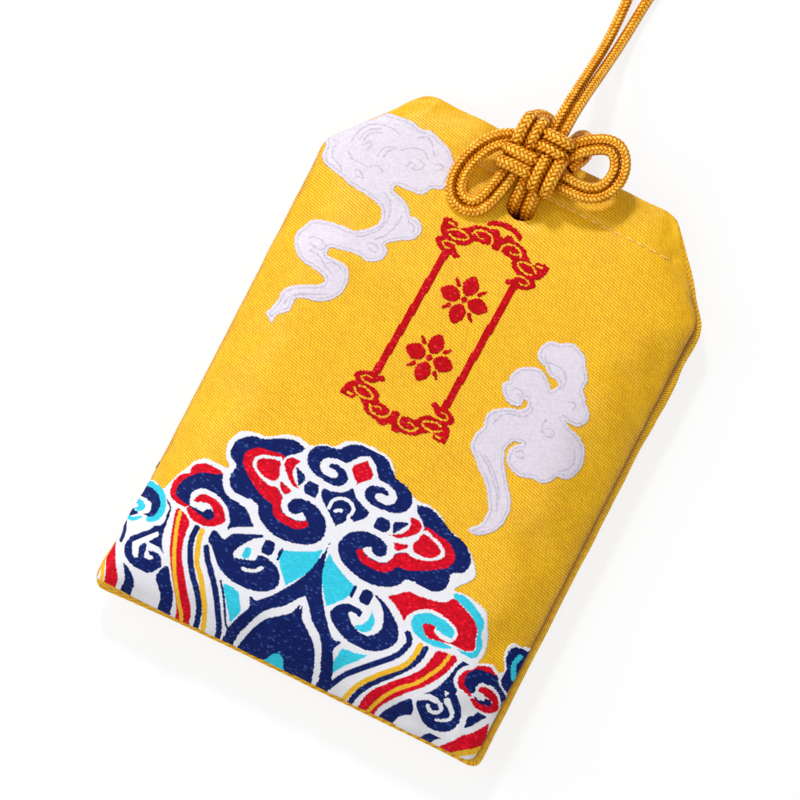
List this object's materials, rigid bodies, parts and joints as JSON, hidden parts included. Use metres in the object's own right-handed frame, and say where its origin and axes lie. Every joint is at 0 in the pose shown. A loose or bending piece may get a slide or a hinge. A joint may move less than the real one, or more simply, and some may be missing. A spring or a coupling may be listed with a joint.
{
  "type": "amulet bag",
  "caption": "Small plump brocade amulet bag with cut top corners, laced through a hole under its mouth by a braided cord with an eared knot and a hanging loop.",
  "frame": {"origin": "under the middle of the bag, on the surface that its back lies on", "axes": "+Y towards the mouth, +Z out of the front face, +X to the right seen from the front"},
  "size_m": [0.056, 0.1395, 0.0123],
  "materials": {
    "brocade": "golden satin brocade with woven colour motifs",
    "wadding": "white fibre wadding",
    "lining": "plain woven lining",
    "stitch": "gold sewing thread",
    "card": "uncoated card",
    "envelope_paper": "plain folded paper",
    "slip_paper": "thick plain paper",
    "braid": "gold braided silk-like cord"
  },
  "bodies": {
    "bag": {"front_panel": "brocade", "back_panel": "brocade", "front_wadding": "wadding", "back_wadding": "wadding", "front_lining": "lining", "back_lining": "lining", "front_hem_thread": "stitch", "back_hem_thread": "stitch", "left_seam_thread": "stitch", "right_seam_thread": "stitch", "bottom_seam_thread": "stitch", "stiffener_card": "card"},
    "charm": {"charm_envelope": "envelope_paper", "charm_slip": "slip_paper"},
    "knot": {"knot_core": "braid", "neck_strand_left": "braid", "neck_strand_right": "braid", "left_ear_outer": "braid", "left_ear_inner": "braid", "right_ear_outer": "braid", "right_ear_inner": "braid"},
    "loop": {"hanging_loop": "braid"}
  },
  "joints": [
    {"name": "charm_slide", "type": "slide", "parent": "bag", "child": "charm", "axis": [0, 1, 0], "range_m": [0, 0.0035]},
    {"name": "knot_swing", "type": "hinge", "parent": "bag", "child": "knot", "pos_m": [0, 0.03537, 0.00537], "axis": [1, 0, 0], "range_deg": [-135, 0]},
    {"name": "loop_swing", "type": "hinge", "parent": "knot", "child": "loop", "pos_m": [0, 0.04088, 0.01], "axis": [1, 0, 0], "range_deg": [0, 90]}
  ]
}
